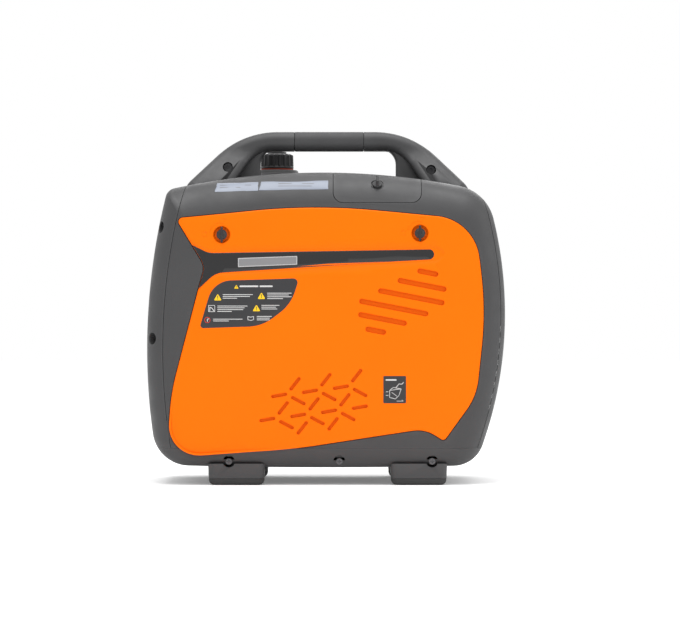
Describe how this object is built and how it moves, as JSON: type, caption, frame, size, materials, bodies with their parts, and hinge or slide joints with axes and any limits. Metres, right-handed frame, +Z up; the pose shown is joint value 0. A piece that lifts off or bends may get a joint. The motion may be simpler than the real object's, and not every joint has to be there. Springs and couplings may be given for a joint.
{
  "type": "portable generator",
  "caption": "Closed-case portable inverter generator with an arched carry handle, orange service cover, fuel cap, control end panel and recoil starter.",
  "frame": {"origin": "centre of the footprint, on the ground plane under the rubber soles", "axes": "+Z up, +X along the length from the control end to the exhaust end, -Y towards the maintenance cover side"},
  "size_m": [0.503, 0.3025, 0.501],
  "materials": {
    "case_plastic": "fine spark-eroded grain, dark grey",
    "orange_plastic": "satin moulded orange",
    "gloss_black": "polished black",
    "silver_badge": "silver film",
    "label_film": "printed film",
    "sticker_film": "silver printed film",
    "knob_plastic": "black moulded",
    "soft_grip": "soft-touch",
    "rubber": "moulded rubber",
    "red_rubber": "brick red rubber",
    "tank_plastic": "black polyethylene",
    "panel_plastic": "black moulded",
    "red_plastic": "red moulded",
    "green_lens": "clear green",
    "rope_cord": "braided cord",
    "zinc_steel": "zinc plated",
    "black_steel": "black oxide",
    "bright_steel": "turned steel",
    "cast_alloy": "die cast",
    "copper_winding": "enamelled copper on a steel core",
    "plug_ceramic": "glazed white",
    "heat_steel": "heat-tinted steel"
  },
  "bodies": {
    "generator": {"front_shell": "case_plastic", "back_shell": "case_plastic", "control_end_cover": "case_plastic", "exhaust_end_cover": "case_plastic", "base_tray": "case_plastic", "feet": "case_plastic", "foot_soles": "rubber", "handle_front_half": "case_plastic", "handle_rear_half": "case_plastic", "handle_grip": "soft_grip", "handle_bolts": "black_steel", "case_screws": "black_steel", "cover_seal": "rubber", "rating_stickers": "sticker_film", "fuel_tank": "tank_plastic", "fuel_neck_collar": "case_plastic", "fuel_hose": "rubber", "control_panel": "panel_plastic", "ac_sockets": "panel_plastic", "dc_socket": "panel_plastic", "indicator_lenses": "green_lens", "ground_terminal": "zinc_steel", "rope_guide": "knob_plastic", "recoil_housing": "knob_plastic", "engine_block": "cast_alloy", "cylinder_head": "cast_alloy", "crankshaft": "bright_steel", "piston": "cast_alloy", "connecting_rod": "cast_alloy", "stator": "copper_winding", "spark_plug": "plug_ceramic", "plug_cap": "rubber", "carburetor": "cast_alloy", "air_filter_box": "tank_plastic", "oil_filler_cap": "knob_plastic", "muffler": "heat_steel", "inverter_module": "cast_alloy", "engine_mounts": "rubber"},
    "cover": {"maintenance_cover": "orange_plastic", "accent_strip": "gloss_black", "badge_plate": "silver_badge", "warning_label": "label_film", "oil_label": "label_film"},
    "cover_knob_left": {"cover_knob_left": "knob_plastic"},
    "cover_knob_right": {"cover_knob_right": "knob_plastic"},
    "plug_panel": {"spark_plug_cover": "case_plastic"},
    "plug_panel_knob": {"spark_cover_knob": "knob_plastic"},
    "cap_gasket": {"fuel_cap_gasket": "red_rubber"},
    "cap": {"fuel_cap": "knob_plastic"},
    "vent_knob": {"cap_vent_knob": "knob_plastic"},
    "engine_switch": {"main_switch_knob": "knob_plastic"},
    "eco_rocker": {"eco_switch": "gloss_black"},
    "lid_left": {"socket_lid_left": "case_plastic"},
    "lid_right": {"socket_lid_right": "case_plastic"},
    "breaker": {"breaker_button": "red_plastic"},
    "starter_grip": {"recoil_grip": "knob_plastic", "starter_rope": "rope_cord"},
    "starter_pulley": {"recoil_pulley": "knob_plastic"},
    "rotor": {"flywheel_rotor": "bright_steel", "cooling_fan": "knob_plastic"}
  },
  "joints": [
    {"name": "cover_lift_off", "type": "slide", "parent": "generator", "child": "cover", "axis": [0, -1, 0], "range_m": [0, 0.12]},
    {"name": "cover_knob_left_turn", "type": "hinge", "parent": "cover", "child": "cover_knob_left", "pos_m": [-0.1455, -0.15, 0.35], "axis": [0, 1, 0], "range_deg": [0, 90]},
    {"name": "cover_knob_right_turn", "type": "hinge", "parent": "cover", "child": "cover_knob_right", "pos_m": [0.1313, -0.15, 0.352], "axis": [0, 1, 0], "range_deg": [0, 90]},
    {"name": "plug_panel_lift_off", "type": "slide", "parent": "generator", "child": "plug_panel", "axis": [0, -0.6428, 0.766], "range_m": [0, 0.08]},
    {"name": "plug_panel_knob_turn", "type": "hinge", "parent": "plug_panel", "child": "plug_panel_knob", "pos_m": [0.072, -0.098, 0.381], "axis": [0, -0.6428, 0.766], "range_deg": [0, 90]},
    {"name": "cap_unscrew", "type": "hinge", "parent": "cap_gasket", "child": "cap", "pos_m": [-0.072, 0.06, 0.439], "axis": [0, 0, 1], "range_deg": [0, 450]},
    {"name": "cap_rise", "type": "slide", "parent": "generator", "child": "cap_gasket", "axis": [0, 0, 1], "range_m": [0, 0.0076]},
    {"name": "vent_turn", "type": "hinge", "parent": "cap", "child": "vent_knob", "pos_m": [-0.072, 0.06, 0.439], "axis": [0, 0, 1], "range_deg": [-90, 0]},
    {"name": "engine_switch_turn", "type": "hinge", "parent": "generator", "child": "engine_switch", "pos_m": [-0.233, 0.052, 0.299], "axis": [-1, 0, 0], "range_deg": [-45, 45]},
    {"name": "eco_rocker_tip", "type": "hinge", "parent": "generator", "child": "eco_rocker", "pos_m": [-0.2335, -0.052, 0.275], "axis": [0, 1, 0], "range_deg": [-9, 9]},
    {"name": "lid_left_swing", "type": "hinge", "parent": "generator", "child": "lid_left", "pos_m": [-0.24, -0.045, 0.2015], "axis": [0, 1, 0], "range_deg": [0, 100], "stiffness_Nm_per_rad": 0.02, "springref_deg": -28.65},
    {"name": "lid_right_swing", "type": "hinge", "parent": "generator", "child": "lid_right", "pos_m": [-0.24, 0.045, 0.2015], "axis": [0, 1, 0], "range_deg": [0, 100], "stiffness_Nm_per_rad": 0.02, "springref_deg": -28.65},
    {"name": "breaker_press", "type": "slide", "parent": "generator", "child": "breaker", "axis": [1, 0, 0], "range_m": [0, 0.003], "stiffness_N_per_m": 300, "springref_m": -0.002},
    {"name": "starter_pull", "type": "slide", "parent": "generator", "child": "starter_grip", "axis": [0, 1, 0], "range_m": [0, 0.18], "stiffness_N_per_m": 12, "springref_m": -0.4},
    {"name": "starter_pulley_spin", "type": "hinge", "parent": "generator", "child": "starter_pulley", "pos_m": [0.095, 0.12, 0.13], "axis": [0, 1, 0], "range_deg": [0, 326]},
    {"name": "rotor_spin", "type": "hinge", "parent": "generator", "child": "rotor", "pos_m": [0.095, 0.07, 0.13], "axis": [0, 1, 0], "continuous": true}
  ],
  "couplings": [
    {"joint": "cap_rise", "follows": "cap_unscrew", "m_per_rad": 0.00095493},
    {"joint": "starter_pulley_spin", "follows": "starter_pull", "rad_per_m": 31.25}
  ]
}
